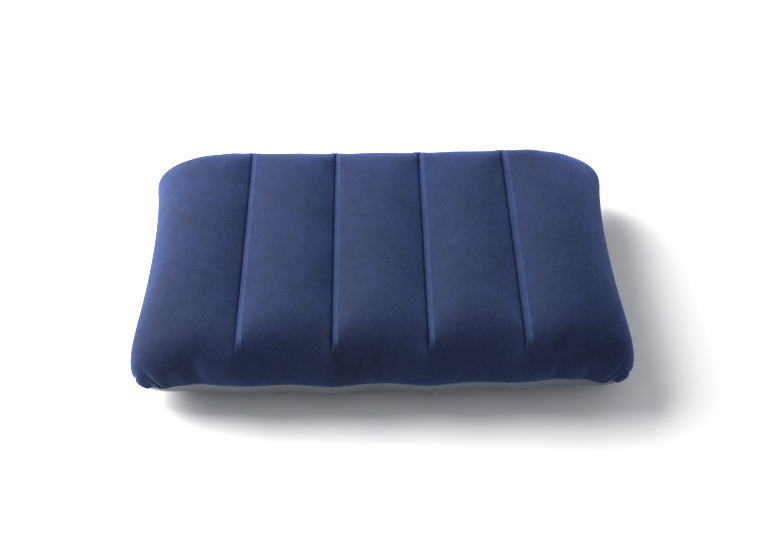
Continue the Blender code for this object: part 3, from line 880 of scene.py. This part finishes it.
# ---- sheets and beams ----
def make_top(columns, rows, grid, material):
    obj = add_object("flocked_sheet", grid_mesh("flocked_sheet", grid, TOP), material)
    x, y = np.meshgrid(columns, rows)
    # mask of the bands' lighter pile: partly crushed pile, partly painted highlight
    pressed_and_highlight = np.zeros_like(x)
    for crease in crease_lines():
        edge = crease + BAND_WIDTH
        one_band_pressed_and_highlight = eased(x, crease + PRESSED_AND_HIGHLIGHT_START[0], crease + PRESSED_AND_HIGHLIGHT_START[1])
        one_band_pressed_and_highlight *= 1 - eased(x, edge + PRESSED_AND_HIGHLIGHT_STOP[0], edge + PRESSED_AND_HIGHLIGHT_STOP[1])
        pressed_and_highlight = np.maximum(pressed_and_highlight, one_band_pressed_and_highlight)
    pressed_and_highlight *= 1 - eased(np.abs(y), *beam_range(PRESSED_AND_HIGHLIGHT_FADE))
    values = np.zeros(len(obj.data.vertices), np.float32)
    values[:pressed_and_highlight.size] = pressed_and_highlight.ravel()
    attribute = obj.data.attributes.new("pressed_and_highlight", "FLOAT", "POINT")
    attribute.data.foreach_set("value", values)
    thicken(obj, TOP_THICKNESS)
    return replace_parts(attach(obj, "pillow"), "top_panel")


def make_bottom(columns, rows, grid, material):
    to_side, to_end = columns[-1] - np.abs(columns), rows[-1] - np.abs(rows)
    seated = seat_on_valve(grid, np.minimum(to_side[None, :], to_end[:, None]))
    mesh = grid_mesh("grey_sheet", seated, BOTTOM)
    cut_valve_seat(mesh)
    obj = thicken(add_object("grey_sheet", mesh, material), BOTTOM_THICKNESS)
    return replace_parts(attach(obj, "pillow"), "bottom_panel")


def make_beams(columns, rows, grids, material):
    inner = []
    for side, thickness in ((TOP, TOP_THICKNESS), (BOTTOM, BOTTOM_THICKNESS)):
        inner.append(grids[side] - grid_normals(grids[side], side) * (thickness + BEAM_CLEARANCE))
    in_beam = np.abs(rows) <= BEAM_RUN / 2 - BEAM_END
    upper, lower = inner[TOP][in_beam], inner[BOTTOM][in_beam]
    for k, crease in enumerate(crease_lines()):
        edge = crease + BAND_WIDTH
        flange = np.where((columns > crease + FLANGE_SIDE) & (columns < edge + FLANGE_SIDE))[0]
        line = int(np.argmin(np.abs(columns - crease)))
        high = upper[:, line] - (0, 0, WEB_CLEARANCE)
        low = lower[:, line] + (0, 0, WEB_CLEARANCE)
        strip = [upper[:, c] for c in flange[::-1]]
        for step in range(WEB_STEPS + 1):
            t = step / WEB_STEPS
            row = high + (low - high) * t
            row[:, 1] *= 1 - WEB_SCALLOP * 4 * t * (1 - t)
            strip.append(row)
        strip += [lower[:, c] for c in flange]
        strip = np.stack(strip, 1)
        _, quads = grid_quads(*strip.shape[:2])
        mesh = bpy.data.meshes.new(f"tension_beam_{k + 1}")
        mesh.from_pydata(strip.reshape(-1, 3).tolist(), [], quads.tolist())
        obj = thicken(add_object(f"tension_beam_{k + 1}", mesh, material), BEAM_THICKNESS)
        obj.data.set_sharp_from_angle(angle=math.radians(BEAM_SHARP_ANGLE))
        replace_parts(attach(obj, "pillow"), f"beam_{k + 1}")


def make_pillow():
    columns, rows, nodes = inflate(STEPS)
    grids = softened(columns, rows, fit_to_frame(nodes))
    creases = [int(np.argmin(np.abs(columns - x))) for x in crease_lines()]
    bands = [int(np.argmin(np.abs(columns - x - BAND_WIDTH))) for x in crease_lines()]
    fine_columns, fine_rows = creases + bands + [0, len(columns) - 1], [0, len(rows) - 1]
    grids = with_fine_lines(with_fine_lines(grids, fine_columns, 2), fine_rows, 1)
    columns, rows = with_fine_lines(columns, fine_columns, 0), with_fine_lines(rows, fine_rows, 0)
    grids = drawn_in(columns, rows, tucked(columns, rows, grids))
    make_top(columns, rows, grids[TOP], flock_material())
    make_beams(columns, rows, grids, film_material("beam_film", BEAM_FILM))
    make_bottom(columns, rows, grids[BOTTOM], film_material("grey_film", GREY_FILM))


# ---- camera, light and floor ----
CAMERA_ELEVATION = math.radians(41.35)
CAMERA_TURN = math.radians(0.856)
CAMERA_DISTANCE = 1.222
CAMERA_AIM = Vector((0.0030, 0.00125, 0.040))
FOCAL_LENGTH = 63.76
SOFTBOX_PLACE = Vector((-0.90, 0.42, 0.82))
SOFTBOX_SIZE = 1.2
SOFTBOX_POWER = 52.0
ROOM_LIGHT = 0.52
ROOM_COLOUR = (0.95, 0.97, 1.0)
FLOOR_SIZE = 12


def set_stage():
    bpy.ops.mesh.primitive_plane_add(size=FLOOR_SIZE)
    floor = bpy.context.object
    floor.name = "floor"
    floor.data.materials.append(floor_material())

    softbox = bpy.data.lights.new("softbox", "AREA")
    softbox.shape = "SQUARE"
    softbox.size = SOFTBOX_SIZE
    softbox.energy = SOFTBOX_POWER
    lamp = bpy.data.objects.new("softbox", softbox)
    lamp.location = SOFTBOX_PLACE
    lamp.rotation_mode = "QUATERNION"
    lamp.rotation_quaternion = SOFTBOX_PLACE.to_track_quat("Z", "Y")
    bpy.context.scene.collection.objects.link(lamp)

    world = bpy.data.worlds.new("studio")
    world.use_nodes = True
    background = world.node_tree.nodes["Background"]
    background.inputs["Color"].default_value = (*ROOM_COLOUR, 1)
    background.inputs["Strength"].default_value = ROOM_LIGHT
    bpy.context.scene.world = world
    bpy.context.scene.view_settings.view_transform = "Standard"

    camera = bpy.data.cameras.new("camera")
    camera.lens = FOCAL_LENGTH
    viewer = bpy.data.objects.new("camera", camera)
    bpy.context.scene.collection.objects.link(viewer)
    up, turn = CAMERA_ELEVATION, CAMERA_TURN
    back = Vector((math.sin(-turn) * math.cos(up), -math.cos(turn) * math.cos(up), math.sin(up)))
    viewer.location = CAMERA_AIM + back * CAMERA_DISTANCE
    viewer.rotation_mode = "QUATERNION"
    viewer.rotation_quaternion = back.to_track_quat("Z", "Y")
    bpy.context.scene.camera = viewer


set_stage()
make_pillow()
make_valve(vinyl_material())
